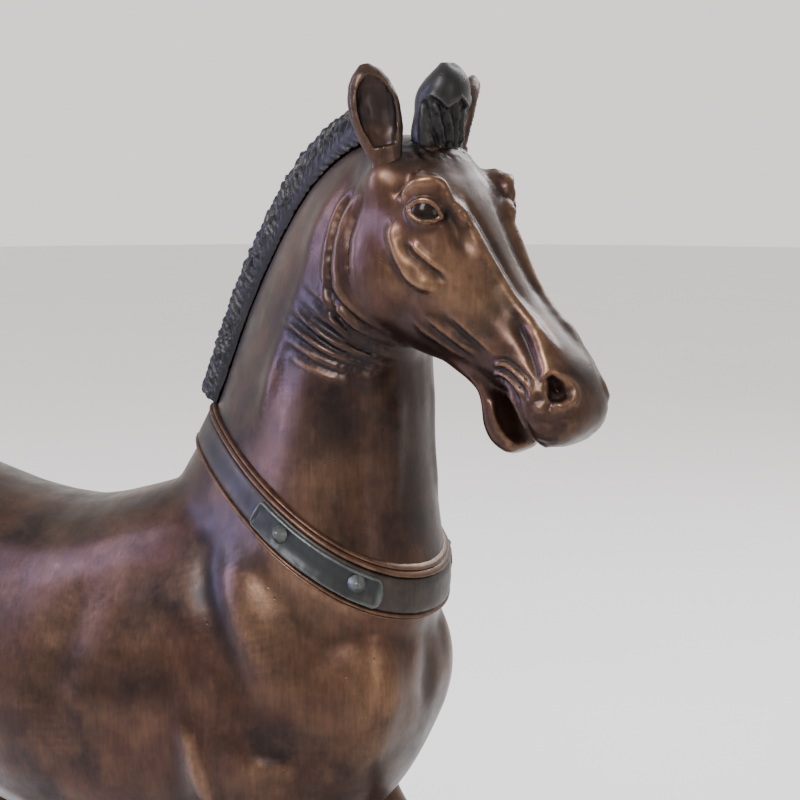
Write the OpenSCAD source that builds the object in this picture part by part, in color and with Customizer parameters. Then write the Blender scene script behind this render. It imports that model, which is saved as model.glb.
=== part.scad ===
// Bronze statuette of a walking horse on a stone plinth, in millimetres.
// The horse faces +X. Z = 0 is the underside of the felt pad, below the middle of the plinth.
// Stations are written for the default size, and scale with the horse's own dimensions.

/* [Horse] */
// Height of the withers above the plinth's top
withers_h = 260; // [200:1:340]
// Length of the body from the point of the shoulder to the buttock
body_l = 262; // [215:1:320]
// Width of the barrel at the ribs
body_w = 94; // [75:1:115]
// Length of the head from the poll to the upper lip
head_l = 99; // [80:1:120]
// How far the face points below the horizontal
head_pitch = 50; // [40:1:60]
// How far the head is turned to the horse's right
head_turn = 10; // [0:1:20]
// How far the right ear leans outwards
right_ear_splay = 6; // [0:1:20]
// How far the left ear leans outwards
left_ear_splay = 26; // [10:1:35]
// How far the ears lean back from the forehead
ear_lean = 62; // [50:1:75]
// Length of an ear
ear_l = 25; // [18:1:32]
// Width of an ear
ear_w = 14; // [10:0.5:18]
// Diameter of an eyeball
eye_d = 11; // [8:0.5:13]

/* [Castings] */
// Wall of the hollow castings
wall = 4.5; // [3:0.1:7]
// Height of the clipped mane above the crest of the neck
mane_h = 8.5; // [6:0.5:15]
// Thickness of the clipped mane
mane_t = 8; // [5:0.5:11]
// Diameter of the dowel that holds the tail
tail_pin_d = 5; // [3:0.5:7]

/* [Collar] */
// Width of the collar band, along the neck
band_w = 9; // [7:0.5:13]
// Thickness of the collar band
band_t = 2; // [1.2:0.1:3.5]
// Diameter of the rolled edges of the collar
rim_d = 2.2; // [1.6:0.1:4]
// Thickness of the raised plates on the band
plate_t = 1.2; // [0.8:0.1:2.5]
// Diameter of a boss
boss_d = 6; // [4:0.5:8]
// Height of a boss above its plate
boss_h = 2.6; // [1.5:0.1:4]

/* [Plinth] */
// How far the stone's top runs out past the last hoof, at each end
end_margin = 8; // [5:0.5:40]
// How far the stone's top runs out past the hooves, at each side
side_margin = 19.4; // [10:0.1:40]
// Bevel along the stone's edges
stone_bevel = 1.2; // [0.4:0.1:2.5]
// Thickness of the stone
plinth_t = 30; // [20:1:45]
// Height of the plinth's lower step
plinth_step = 11; // [6:1:16]
// How far the upper block stands in from the lower step
step_in = 6; // [3:0.5:10]
// Thickness of the felt under the stone
felt_t = 2; // [1:0.5:4]
// How far the felt stands in from the stone's edge
felt_in = 4; // [2:0.5:10]

/* [Fixings] */
// Diameter of the threaded studs in the hooves
stud_d = 6; // [4:1:8]
// How far a stud reaches up into its hoof
stud_grip = 9; // [6:0.5:12]
// Clearance of a stud in its hole in the stone, on the diameter
stud_clear = 1; // [0.4:0.1:2]
// Height of a nut
nut_h = 5; // [3:0.5:7]
// Thickness of a washer
washer_t = 1.6; // [1:0.1:3]
// Depth of the recess that hides a nut
recess_deep = 13; // [11:0.5:18]

/* [Hidden] */

bronze = "#6b4630";
black_patina = "#26272b";
stone = "#1d1e20";
felt = "#2f4a38";
steel = "#9a9c9f";

kx = body_l / 262;                  // the stations below are millimetres on a horse of the default size
ky = body_w / 94;
kz = withers_h / 260;
kh = head_l / 99;
ground = felt_t + plinth_t;
sides = 28;                         // corners of a ring of the large castings
leg_sides = 18;
eps = 0.01;

// ---------- Rings and lofts ----------

// A row of a loft is [front x, front z, back x, back z, side y, half width, fullness, turn].
// Its ring runs through the front and the back point. Fullness above 0 widens it near the back point.
function blend(a, b, c, d, t) =
    0.5 * (2 * b + (c - a) * t + (2 * a - 5 * b + 4 * c - d) * t * t + (3 * b - a - 3 * c + d) * t * t * t);
function between(rows, steps) =
    let (last = len(rows) - 1)
    [for (i = [0 : last - 1]) for (s = [0 : steps - 1])
        blend(rows[max(i - 1, 0)], rows[i], rows[i + 1], rows[min(i + 2, last)], s / steps),
     rows[last]];
function signed_power(v, e) = sign(v) * pow(abs(v), e);
function turned(p, pivot, a) =
    [pivot + (p[0] - pivot) * cos(a) - p[1] * sin(a), (p[0] - pivot) * sin(a) + p[1] * cos(a), p[2]];
function ring(row, n, squareness, pivot) =
    [for (i = [0 : n - 1])
        let (a = 360 * i / n,
             c = signed_power(cos(a), squareness),
             s = signed_power(sin(a), squareness),
             p = [(row[0] + row[2]) / 2 + (row[0] - row[2]) / 2 * s,
                  row[4] + row[5] * c * (1 - row[6] * s),
                  (row[1] + row[3]) / 2 + (row[1] - row[3]) / 2 * s])
        turned(p, pivot, -row[7])];
// How much a ring shrinks when its wall is taken off: both points move inwards by the wall.
function inner_row(row, t) =
    let (d = [row[0] - row[2], row[1] - row[3]], l = norm(d), m = min(t / l, 0.45))
    [row[0] - d[0] * m, row[1] - d[1] * m, row[2] + d[0] * m, row[3] + d[1] * m,
     row[4], max(row[5] - t, 1), row[6], row[7]];

// Which way the rings follow each other round their own turning direction.
function sense(rows) =
    let (a = rows[0], m = rows[floor(len(rows) / 2)], b = rows[len(rows) - 1],
         across = [m[0] - m[2], m[1] - m[3]], along = [b[0] + b[2] - a[0] - a[2], b[1] + b[3] - a[1] - a[3]])
    across[1] * along[0] - across[0] * along[1];
module loft(rows, n = sides, squareness = 1, pivot = 0) {
    rings = [for (row = rows) ring(row, n, squareness, pivot)];
    last = len(rows) - 1;
    points = [for (r = rings) each r];
    skin = [for (k = [0 : last - 1]) for (i = [0 : n - 1])
        let (a = k * n + i, b = k * n + (i + 1) % n) each [[a, b, a + n], [b, b + n, a + n]]];
    ends = concat([for (i = [1 : n - 2]) [0, i + 1, i]],
                  [for (i = [1 : n - 2]) [last * n, last * n + i, last * n + i + 1]]);
    faces = concat(skin, ends);
    polyhedron(points, sense(rows) > 0 ? [for (f = faces) [f[0], f[2], f[1]]] : faces);
}
// An egg-shaped muscle on both flanks: centre, half sizes and lean in the side view.
module muscle(at, half, lean = 0, side = 0) {
    for (s = side == 0 ? [-1, 1] : [side])
        translate([at[0], s * at[1], at[2]]) rotate([0, lean, 0]) scale(half) sphere(r = 1, $fn = 24);
}
// Stations of the default horse, moved to the size asked for and stood on the plinth.
function px(x) = x * kx;
function py(y) = y * ky;
function pz(z) = ground + z * kz;
function station(r) = [px(r[0]), pz(r[1]), px(r[2]), pz(r[3]), py(r[4]), py(r[5]), r[6], r[7] * head_turn];
function stations(rows) = [for (r = rows) station(r)];
module big_muscle(at, half, lean = 0, side = 0) {
    muscle([px(at[0]), py(at[1]), pz(at[2])], [half[0] * kx, half[1] * ky, half[2] * kz], lean, side);
}
// Keeps a node of faceted solids as one mesh, with its size unchanged.
module one_mesh() { resize([0, 0, 0]) children(); }
function inside_of(rows) = [for (r = rows) inner_row(r, wall)];

// ---------- The barrel, the neck and the collar's plane ----------

barrel_rows = between(stations([
    [-134, 212, -133, 192,  0,  9, 0.00, 0],
    [-128, 232, -127, 165,  0, 24, 0.00, 0],
    [-112, 248, -112, 148,  0, 35, 0.00, 0],
    [ -88, 257,  -88, 143,  0, 41, 0.05, 0],
    [ -60, 254,  -60, 146,  0, 42, 0.08, 0],
    [ -30, 247,  -30, 142,  0, 44, 0.08, 0],
    [   0, 245,    0, 136,  0, 46, 0.10, 0],
    [  25, 251,   25, 134,  0, 44, 0.12, 0],
    [  50, 258,   50, 136,  0, 40, 0.14, 0],
    [  72, 255,   72, 141,  0, 37, 0.10, 0],
    [  92, 246,   92, 149,  0, 34, 0.05, 0],
    [ 107, 236,  107, 163,  0, 29, 0.00, 0],
    [ 116, 226,  116, 177,  0, 22, 0.00, 0],
    [ 121, 215,  121, 193,  0, 10, 0.00, 0]]), 2);
neck_rows = between(stations([
    [ 30, 243, 110, 188,  0, 29, 0.20, 0.0],
    [ 40, 260, 120, 215,  0, 28, 0.32, 0.0],
    [ 48, 273, 124, 230,  0, 26, 0.40, 0.0],
    [ 54, 286, 122, 247,  0, 24.5, 0.40, 0.1],
    [ 63, 308, 120, 267,  0, 23, 0.38, 0.35],
    [ 74, 328, 120, 283,  0, 21.5, 0.34, 0.6],
    [ 87, 345, 120, 296,  0, 20, 0.28, 0.8],
    [102, 355, 125, 302,  0, 19, 0.22, 1.0],
    [114, 358, 132, 308,  0, 17, 0.15, 1.0]]), 2);
neck_pivot = px(87);
collar_row = station([48, 273, 124, 230, 0, 26, 0.4, 0]);
collar_mid = [(collar_row[0] + collar_row[2]) / 2, 0, (collar_row[1] + collar_row[3]) / 2];
collar_tilt = atan2(collar_row[1] - collar_row[3], collar_row[2] - collar_row[0]);

space = 4 * body_l;                  // more than the whole horse, for cutting with half spaces
// Everything on one side of the collar's middle plane, where the neck casting meets the body casting.
module collar_space(low, high) {
    translate(collar_mid) rotate([0, collar_tilt, 0])
        translate([-space / 2, -space / 2, low]) cube([space, space, high - low]);
}
function grown(rows, t) = inside_grown(rows, -t);
function inside_grown(rows, t) =
    [for (r = rows)
        let (d = [r[0] - r[2], r[1] - r[3]], m = t / norm(d))
        [r[0] - d[0] * m, r[1] - d[1] * m, r[2] + d[0] * m, r[3] + d[1] * m, r[4], r[5] - t, r[6], r[7]]];
// The core that leaves the body hollow stays clear of the breast and of the tail's socket.
trunk_core = [for (i = [4 : len(barrel_rows) - 6]) barrel_rows[i]];
module neck_hollow() { loft(inside_of(neck_rows), 20, pivot = neck_pivot); }
module neck_solid(t = 0) { loft(grown(neck_rows, t), pivot = neck_pivot); }
module body_solid() {
    loft(barrel_rows);
    big_muscle([84, 20, 206], [25, 15, 40], -20);        // shoulder blade and upper arm
    big_muscle([70, 26, 182], [24, 13, 24], 10);         // triceps
    big_muscle([102, 14, 198], [18, 15, 30], 12);        // breast
    big_muscle([-84, 26, 200], [38, 18, 44], 0);         // thigh
    big_muscle([-112, 20, 196], [20, 17, 40], 0);        // buttock
}

// ---------- Legs ----------

// Stations run from inside the body to the ground: front point, back point, side, half width.
right_fore_rows = [
    [102, 184,  58, 184, -24, 14.0, 0, 0],
    [ 97, 160,  61, 160, -24, 13.0, 0, 0],
    [ 92, 138,  66, 139, -23, 10.8, 0, 0],
    [ 89, 112,  72, 114, -22,  8.6, 0, 0],
    [ 88,  93,  74,  94, -22,  7.8, 0, 0],
    [ 90,  80,  73,  79, -22,  8.4, 0, 0],
    [ 87,  66,  74,  65, -22,  6.4, 0, 0],
    [ 85,  50,  74,  50, -22,  5.0, 0, 0],
    [ 85,  41,  73,  41, -22,  5.4, 0, 0],
    [ 86,  33,  71,  32, -22,  6.6, 0, 0],
    [ 88,  24,  75,  20, -22,  5.6, 0, 0],
    [ 93,  17,  76,  12, -22,  8.6, 0, 0],
    [ 99,   0,  75,   0, -22, 10.6, 0, 0]];
left_fore_rows = [
    [ 90, 184,  56, 174,  24, 14.0, 0, 0],
    [ 94, 164,  66, 144,  24, 13.0, 0, 0],
    [107, 146,  86, 127,  23, 10.8, 0, 0],
    [125, 133, 112, 118,  22,  8.6, 0, 0],
    [139, 124, 128, 112,  22,  7.8, 0, 0],
    [152, 114, 137, 106,  22,  8.4, 0, 0],
    [151,  98, 138,  96,  22,  6.4, 0, 0],
    [144,  83, 133,  84,  22,  5.0, 0, 0],
    [141,  74, 129,  75,  22,  5.4, 0, 0],
    [139,  65, 124,  69,  22,  6.6, 0, 0],
    [132,  55, 121,  62,  22,  5.6, 0, 0],
    [128,  45, 113,  55,  22,  8.6, 0, 0],
    [118,  27,  97,  42,  22, 10.6, 0, 0]];
left_hind_rows = [
    [-40, 196, -104, 200,  23, 17.0, 0, 0],
    [-36, 174, -100, 174,  24, 16.0, 0, 0],
    [-40, 152,  -89, 152,  24, 13.5, 0, 0],
    [-52, 130,  -86, 128,  23, 10.6, 0, 0],
    [-62, 112,  -84, 109,  22,  8.0, 0, 0],
    [-67,  98,  -87,  98,  22,  7.6, 0, 0],
    [-65,  86,  -82,  84,  22,  7.2, 0, 0],
    [-60,  72,  -74,  68,  22,  5.4, 0, 0],
    [-54,  56,  -66,  52,  22,  4.8, 0, 0],
    [-50,  46,  -64,  43,  22,  5.2, 0, 0],
    [-46,  37,  -62,  33,  22,  6.4, 0, 0],
    [-42,  27,  -55,  21,  22,  5.6, 0, 0],
    [-36,  18,  -52,  12,  22,  8.4, 0, 0],
    [-29,   0,  -52,   0,  22, 10.2, 0, 0]];
right_hind_rows = [
    [ -58, 196, -120, 200, -23, 17.0, 0, 0],
    [ -57, 174, -121, 174, -24, 16.0, 0, 0],
    [ -65, 152, -113, 151, -24, 13.5, 0, 0],
    [ -82, 132, -115, 127, -23, 10.6, 0, 0],
    [ -98, 114, -121, 109, -22,  8.0, 0, 0],
    [-107, 101, -129, 101, -22,  7.6, 0, 0],
    [-112,  87, -130,  86, -22,  7.2, 0, 0],
    [-117,  72, -131,  70, -22,  5.4, 0, 0],
    [-121,  56, -134,  54, -22,  4.8, 0, 0],
    [-123,  46, -137,  44, -22,  5.2, 0, 0],
    [-124,  38, -140,  35, -22,  6.4, 0, 0],
    [-122,  28, -136,  22, -22,  5.6, 0, 0],
    [-118,  18, -135,  12, -22,  8.4, 0, 0],
    [-112,   0, -136,   0, -22, 10.2, 0, 0]];
fore_weld = 150;      // heights of the welds between the legs and the body
hind_weld = 152;
// The raised leg's weld leans with its forearm.
raised_weld = [95, 138, -44];

module leg_solid(rows) { loft(between(stations(rows), 2), leg_sides); }
module half_space(z, above) {
    translate([-400, -200, above ? pz(z) : pz(z) - 400]) cube([800, 400, 400]);
}
module raised_space(above) {
    translate([px(raised_weld[0]), 0, pz(raised_weld[1])]) rotate([0, raised_weld[2], 0])
        translate([-300, 0, above ? 0 : -300]) cube([600, 100, 300]);
}
// Middle of a standing hoof's sole.
function sole(rows) = let (r = rows[len(rows) - 1]) [px((r[0] + r[2]) / 2), py(r[4])];
studs = [sole(right_fore_rows), sole(left_hind_rows), sole(right_hind_rows)];

module standing_leg(rows, weld) {
    difference() {
        one_mesh() difference() {
            intersection() { leg_solid(rows); half_space(weld, false); }
            body_solid();
        }
        translate([sole(rows)[0], sole(rows)[1], ground - 1]) cylinder(d = stud_d, h = stud_grip + 1, $fn = 48);
    }
}

// ---------- The head, in its own frame: X down the face, Z out of the forehead ----------

poll = turned([px(118), 0, pz(360)], neck_pivot, -head_turn);
module on_head() {
    translate(poll) rotate([0, 0, -head_turn]) rotate([0, head_pitch, 0]) scale(kh) children();
}
skull_rows = between([
    [ 0, -3,  8, -24, 0, 11.0, 0.00, 0],
    [ 5,  2, 17, -34, 0, 16.0, 0.00, 0],
    [14,  6, 29, -38, 0, 18.5, -0.05, 0],
    [25,  8, 41, -37, 0, 19.5, -0.12, 0],
    [36,  7, 52, -32, 0, 18.0, -0.15, 0],
    [48,  5, 60, -26, 0, 14.5, -0.10, 0],
    [60,  4, 68, -20, 0, 12.0, -0.05, 0],
    [72,  5, 76, -15, 0, 11.5, 0.05, 0],
    [82,  6, 84, -14, 0, 13.0, 0.10, 0],
    [90,  5, 91, -14, 0, 12.5, 0.10, 0],
    [96,  1, 96, -13, 0,  9.5, 0.05, 0],
    [98, -3, 98, -9,  0,  5.0, 0.00, 0]], 2);
jaw_rows = between([
    [54, -12, 52, -30, 0, 10.0, 0.00, 0],
    [64, -14, 62, -26, 0,  9.5, 0.00, 0],
    [73, -16, 72, -22, 0,  9.0, 0.00, 0],
    [80, -17, 79, -27, 0,  9.0, 0.00, 0],
    [86, -19, 85, -28, 0,  8.5, 0.00, 0],
    [91, -20, 90, -26, 0,  6.0, 0.00, 0]], 2);
module head_solid() {
    on_head() {
        loft(skull_rows, squareness = 0.76);
        loft(jaw_rows, 20);
        muscle([26.5, 15, 3.8], [8, 4, 5], 15);         // brow
        muscle([30, 12, -20], [18, 8, 17], 0);          // cheek
    }
}
eye_at = [29.5, 14.5, 0.3];
module eye(side, extra = 0) {
    on_head() translate([eye_at[0], side * eye_at[1], eye_at[2]]) sphere(d = eye_d + extra, $fn = 48);
}
// The parted lips: a slot across the front, and a pocket on each side up to the web that is the tongue.
mouth_web = 7;
module mouth_gap() {
    on_head() hull() {
        translate([80, 0, -15.5]) rotate([90, 0, 0]) cylinder(d = 1, h = 60, center = true, $fn = 12);
        translate([99, 0, -16.5]) rotate([90, 0, 0]) cylinder(d = 4, h = 60, center = true, $fn = 12);
    }
    on_head() for (s = [-1, 1]) translate([0, s * (mouth_web + 60) / 2, 0]) hull() {
        translate([76, 0, -13]) rotate([90, 0, 0]) cylinder(d = 2, h = 60, center = true, $fn = 12);
        translate([83, 0, -14.5]) rotate([90, 0, 0]) cylinder(d = 7.5, h = 60, center = true, $fn = 16);
        translate([89, 0, -16.5]) rotate([90, 0, 0]) cylinder(d = 4, h = 60, center = true, $fn = 12);
    }
}
// An ear is a leaf-shaped cup on a short root, in its own frame: Z to the tip, opening towards +X.
ear_base = [10, 15, -1];
ear_root = 0.25;      // length of the root sunk in the skull, as a share of the ear's length
ear_turn = 40;
ear_cup = 0.76;        // size of the hollow against the ear
ear_depth = 0.62;     // depth of an ear against its width
ear_rows = [for (t = [0 : 0.1 : 1]) [t * ear_l, ear_w / 2 * sqrt(sin(24 + 154 * pow(t, 1.25)))]];
function ear_back(side) = side < 0 ? ear_lean : ear_lean - 7;
function ear_out(side) = side < 0 ? right_ear_splay : left_ear_splay;
module ear_leaf(size, root, n) {
    rows = concat([[-root * ear_l, ear_w / 3]], ear_rows);
    loft([for (r = rows * size) [r[1] * ear_depth, r[0], -r[1] * ear_depth, r[0], 0, r[1], 0, 0]], n);
}
module ear(side) {
    on_head() translate([ear_base[0], side * ear_base[1], ear_base[2]])
        rotate([0, -ear_back(side), 0]) rotate([side * -ear_out(side), 0, 0]) rotate([0, 0, side * ear_turn])
            difference() {
                ear_leaf(1, ear_root, 16);
                translate([ear_w * 0.22, 0, ear_l * 0.12]) ear_leaf(ear_cup, 0, 14);
            }
}

// ---------- Hair ----------

mane_root = 4;        // how far the mane runs into the neck before it is cut to the crest
mane_swell = 0.45;    // how much higher the mane stands at the poll than at the withers
mane_rows = [for (i = [4 : len(neck_rows) - 2])
    let (r = neck_rows[i], d = [r[0] - r[2], r[1] - r[3]] / norm([r[0] - r[2], r[1] - r[3]]),
         part = (i - 4) / (len(neck_rows) - 6), h = mane_h * (0.8 + mane_swell * part))
    [r[0] + d[0] * h, r[1] + d[1] * h, r[0] - d[0] * mane_root, r[1] - d[1] * mane_root,
     0, mane_t / 2, 0.1, r[7]]];
forelock_rows = [
    [17,  5,  4,  2, 2.5, 8.2, 0, 0],
    [12, 11,  0,  6, 2.5, 8.6, 0, 0],
    [ 7, 17, -4, 11, 2.5, 7.8, 0, 0],
    [ 3, 21, -6, 16, 2.5, 6.2, 0, 0],
    [ 0, 23, -5, 20, 2.5, 3.8, 0, 0]];

// ---------- Tail ----------

tail_rows = between(stations([
    [-120, 238, -121, 222, 0, 6.0, 0, 0],
    [-134, 241, -131, 226, 0, 7.0, 0, 0],
    [-147, 233, -136, 222, 0, 7.5, 0, 0],
    [-155, 216, -142, 212, 0, 8.0, 0, 0],
    [-158, 195, -144, 195, 0, 8.8, 0, 0],
    [-158, 172, -145, 172, 0, 8.2, 0, 0],
    [-156, 152, -147, 152, 0, 6.0, 0, 0],
    [-157, 138, -146, 138, 0, 7.4, 0, 0],
    [-157, 121, -148, 121, 0, 6.2, 0, 0],
    [-154, 106, -151, 106, 0, 2.5, 0, 0]]), 2);
module tail_dowel(extra = 0) {
    translate([px(-116), 0, pz(231)]) rotate([0, -90, 0]) cylinder(d = tail_pin_d + extra, h = 22, $fn = 48);
}

// ---------- Castings ----------

module leg_tops() {
    intersection() { leg_solid(right_fore_rows); half_space(fore_weld, true); }
    intersection() { leg_solid(left_fore_rows); raised_space(true); }
    intersection() { leg_solid(left_hind_rows); half_space(hind_weld, true); }
    intersection() { leg_solid(right_hind_rows); half_space(hind_weld, true); }
}
module body_casting() {
    color(bronze) one_mesh() difference() {
        union() {
            intersection() { union() { body_solid(); neck_solid(); } collar_space(-space, 0); }
            leg_tops();
        }
        loft(inside_of(trunk_core), 20);
        neck_hollow();
        tail_dowel();
    }
}
module neck_casting() {
    color(bronze) one_mesh() difference() {
        intersection() { neck_solid(); collar_space(0, space); }
        body_lump();
        head_solid();
        neck_hollow();
    }
}
// What the body casting fills above the collar's plane, which is nothing but rounding.
module body_lump() { intersection() { body_solid(); collar_space(-space, 0); } }
module head_casting() {
    color(bronze) difference() {
        one_mesh() difference() {
            head_solid();
            neck_hollow();
            on_head() translate([20, 0, -16]) scale([20, 13, 13]) sphere(r = 1, $fn = 16);
            mouth_gap();
        }
        eye(-1);
        eye(1);
    }
}
module mane_crest() {
    color(black_patina) one_mesh() difference() {
        mane_crest_solid();
        neck_solid();
        head_solid();
        collar_space(-space, band_w / 2 + rim_d);
    }
}
module forelock_tuft() {
    color(black_patina) one_mesh() difference() {
        on_head() loft(between(forelock_rows, 2), 20);
        head_solid();
        mane_crest_solid();
        neck_solid();
    }
}
module mane_crest_solid() { loft(mane_rows, 16, 0.7, neck_pivot); }
module ear_casting(side) {
    color(bronze) one_mesh() difference() {
        ear(side);
        head_solid();
        neck_solid();
        mane_crest_solid();
        on_head() loft(between(forelock_rows, 2), 20);
    }
}
module left_ear() { ear_casting(1); }
module right_ear() { ear_casting(-1); }
module left_eye() { color("black") eye(1); }
module right_eye() { color("black") eye(-1); }

// ---------- Collar ----------

// A belt round the neck between two heights along it, measured from the collar's plane.
module belt(low, high, thick) {
    difference() {
        intersection() { neck_solid(thick); collar_space(low, high); }
        neck_solid();
        body_solid();
    }
}
module collar_band() {
    color(black_patina) one_mesh() belt(-band_w / 2, band_w / 2, band_t);
}
module collar_upper_rim() {
    color(black_patina) one_mesh() belt(band_w / 2, band_w / 2 + rim_d, rim_d);
}
module collar_lower_rim() {
    color(black_patina) one_mesh() belt(-band_w / 2 - rim_d, -band_w / 2, rim_d);
}
boss_turns = [-12, -46];   // where the bosses of one side stand round the ring, from its widest point
plate_from = 80;           // the plates' ends along the horse
plate_to = 119;
plate_margin = 1.2;        // band left bare along each edge of a plate
module collar_plates() {
    h = band_w / 2 - plate_margin;
    color(black_patina) one_mesh() difference() {
        intersection() { neck_solid(band_t + plate_t); collar_space(-h, h); plate_zone(); }
        neck_solid(band_t);
        body_solid();
    }
}
module plate_zone() {
    translate([px(plate_from), 1, 0]) cube([px(plate_to - plate_from), 100, 600]);
    translate([px(plate_from), -101, 0]) cube([px(plate_to - plate_from), 100, 600]);
}
module collar_bosses() {
    color(black_patina) for (s = [-1, 1]) for (a = boss_turns) boss(s, a);
}
function on_collar(a, side, t) =
    let (r = ring(grown([collar_row], t)[0], 360, 1, 0), q = r[(a + 360) % 360])
    [q[0], side * abs(q[1]), q[2]];
module boss(side, a) {
    p = on_collar(a, side, band_t + plate_t);
    q = on_collar(a + 1, side, band_t + plate_t);
    o = on_collar(a - 1, side, band_t + plate_t);
    along = (q - o) / norm(q - o);
    out = side * cross([sin(collar_tilt), 0, cos(collar_tilt)], along);
    yaw = atan2(out[1], out[0]);
    lean = acos(out[2] / norm(out));
    translate(p) rotate([0, 0, yaw]) rotate([0, lean, 0]) cylinder(d1 = boss_d, d2 = boss_d * 0.35, h = boss_h, $fn = 36);
}

module left_foreleg() {
    color(bronze) one_mesh() difference() { leg_solid(left_fore_rows); raised_space(true); }
}
module right_foreleg() { color(bronze) standing_leg(right_fore_rows, fore_weld); }
module left_hind_leg() { color(bronze) standing_leg(left_hind_rows, hind_weld); }
module right_hind_leg() { color(bronze) standing_leg(right_hind_rows, hind_weld); }
module tail_casting() {
    color(bronze) one_mesh() difference() { loft(tail_rows, 20); body_solid(); leg_tops(); tail_dowel(); }
}
module tail_pin() { color(steel) tail_dowel(); }

// ---------- Plinth and fixings ----------

hooves = [for (rows = [right_fore_rows, left_hind_rows, right_hind_rows]) rows[len(rows) - 1]];
top_l = 2 * (max([for (r = hooves) px(max(abs(r[0]), abs(r[2])))]) + end_margin);
top_w = 2 * (max([for (r = hooves) py(abs(r[4]) + r[5])]) + side_margin);
plinth_l = top_l + 2 * step_in;
plinth_w = top_w + 2 * step_in;

module block(l, w, t) { linear_extrude(t) square([l, w], center = true); }
// A block whose upright and top edges are bevelled.
module stone_block(l, w, t) {
    b = stone_bevel;
    hull() {
        block(l - 2 * b, w, t - b);
        block(l, w - 2 * b, t - b);
        block(l - 3 * b, w - 3 * b, t);
    }
}
module plinth() {
    color(stone) translate([0, 0, felt_t]) difference() {
        union() {
            stone_block(plinth_l, plinth_w, plinth_step);
            stone_block(top_l, top_w, plinth_t);
        }
        for (s = studs) translate([s[0], s[1], -1]) {
            cylinder(d = stud_d + stud_clear, h = plinth_t + 2, $fn = 48);
            cylinder(d = washer_d + 2, h = recess_deep + 1, $fn = 48);
        }
    }
}
washer_d = 2.4 * stud_d;
nut_across = 1.7 * stud_d;
module felt_pad() {
    color(felt) block(plinth_l - 2 * felt_in, plinth_w - 2 * felt_in, felt_t);
}
seat = felt_t + recess_deep;          // roof of a recess, where the washer bears
module hoof_studs() {
    color(steel) for (s = studs) translate([s[0], s[1], seat - washer_t - nut_h - 2])
        cylinder(d = stud_d, h = ground + stud_grip - (seat - washer_t - nut_h - 2), $fn = 48);
}
module stud_washers() {
    color(steel) for (s = studs) translate([s[0], s[1], seat - washer_t]) difference() {
        cylinder(d = washer_d, h = washer_t, $fn = 48);
        translate([0, 0, -1]) cylinder(d = stud_d + 0.4, h = washer_t + 2, $fn = 48);
    }
}
module stud_nuts() {
    color(steel) for (s = studs) translate([s[0], s[1], seat - washer_t - nut_h]) difference() {
        cylinder(d = nut_across / cos(30), h = nut_h, $fn = 6);
        translate([0, 0, -1]) cylinder(d = stud_d, h = nut_h + 2, $fn = 48);
    }
}

plinth();
felt_pad();
hoof_studs();
stud_washers();
stud_nuts();
body_casting();
neck_casting();
head_casting();
mane_crest();
forelock_tuft();
left_ear();
right_ear();
left_eye();
right_eye();
collar_band();
collar_upper_rim();
collar_lower_rim();
collar_plates();
collar_bosses();
left_foreleg();
right_foreleg();
left_hind_leg();
right_hind_leg();
tail_casting();
tail_pin();
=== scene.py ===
import math

import bmesh
import bpy
import numpy as np
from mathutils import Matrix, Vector
from mathutils.bvhtree import BVHTree


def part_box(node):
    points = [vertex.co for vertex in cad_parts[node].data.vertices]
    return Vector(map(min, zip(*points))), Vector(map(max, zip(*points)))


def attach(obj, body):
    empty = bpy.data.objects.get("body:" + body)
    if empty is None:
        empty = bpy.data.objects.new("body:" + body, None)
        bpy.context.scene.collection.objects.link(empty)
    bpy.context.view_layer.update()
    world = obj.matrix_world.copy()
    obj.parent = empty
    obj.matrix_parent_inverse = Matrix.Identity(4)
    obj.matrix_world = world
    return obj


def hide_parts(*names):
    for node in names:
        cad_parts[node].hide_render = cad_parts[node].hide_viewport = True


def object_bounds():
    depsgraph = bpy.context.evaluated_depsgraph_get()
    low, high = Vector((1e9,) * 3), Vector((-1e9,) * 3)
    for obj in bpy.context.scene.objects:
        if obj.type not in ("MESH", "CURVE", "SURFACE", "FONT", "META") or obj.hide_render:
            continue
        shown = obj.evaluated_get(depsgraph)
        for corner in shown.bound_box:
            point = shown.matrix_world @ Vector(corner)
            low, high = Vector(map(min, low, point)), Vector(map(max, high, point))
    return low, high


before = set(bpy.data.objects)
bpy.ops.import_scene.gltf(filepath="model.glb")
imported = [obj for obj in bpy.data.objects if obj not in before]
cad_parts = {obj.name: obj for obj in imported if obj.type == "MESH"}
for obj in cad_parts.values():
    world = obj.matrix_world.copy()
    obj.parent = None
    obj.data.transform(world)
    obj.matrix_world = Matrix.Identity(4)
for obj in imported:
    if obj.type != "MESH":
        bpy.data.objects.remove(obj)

cad_low, cad_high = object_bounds()

# Lengths in this script are millimetres, and meshes are metres.
MM = 0.001

# ---------- Places on the horse ----------

stone_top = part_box("plinth")[1].z / MM
poll = np.array([117.53, -5.38, 360.0 + stone_top])
head_turn = math.radians(10)
head_drop = math.radians(50)
ahead = np.array([math.cos(head_turn), -math.sin(head_turn), 0.0])
upward = np.array([0.0, 0.0, 1.0])
down_face = math.cos(head_drop) * ahead - math.sin(head_drop) * upward
out_of_face = math.sin(head_drop) * ahead + math.cos(head_drop) * upward
across_face = np.array([math.sin(head_turn), math.cos(head_turn), 0.0])
collar_mid = np.array([86.0, 0.0, 251.5 + stone_top])
collar_up = np.array([0.4924, 0.0, 0.8704])
collar_front = np.array([0.8704, 0.0, -0.4924])
collar_width = 9.0
fore_weld = 150.0 + stone_top
hind_weld = 152.0 + stone_top
lowest_neck = 190.0 + stone_top
raised_weld = np.array([95.0, 0.0, 138.0 + stone_top])
raised_lean = math.radians(-44)


def on_head(h, n, t):
    """A point h down the face from the poll, n out of the forehead and t to the horse's left."""
    return poll + h * down_face + n * out_of_face + t * across_face


def on_horse(x, y, z):
    """A point measured from the middle of the plinth's top."""
    return np.array([x, y, z + stone_top])


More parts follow.
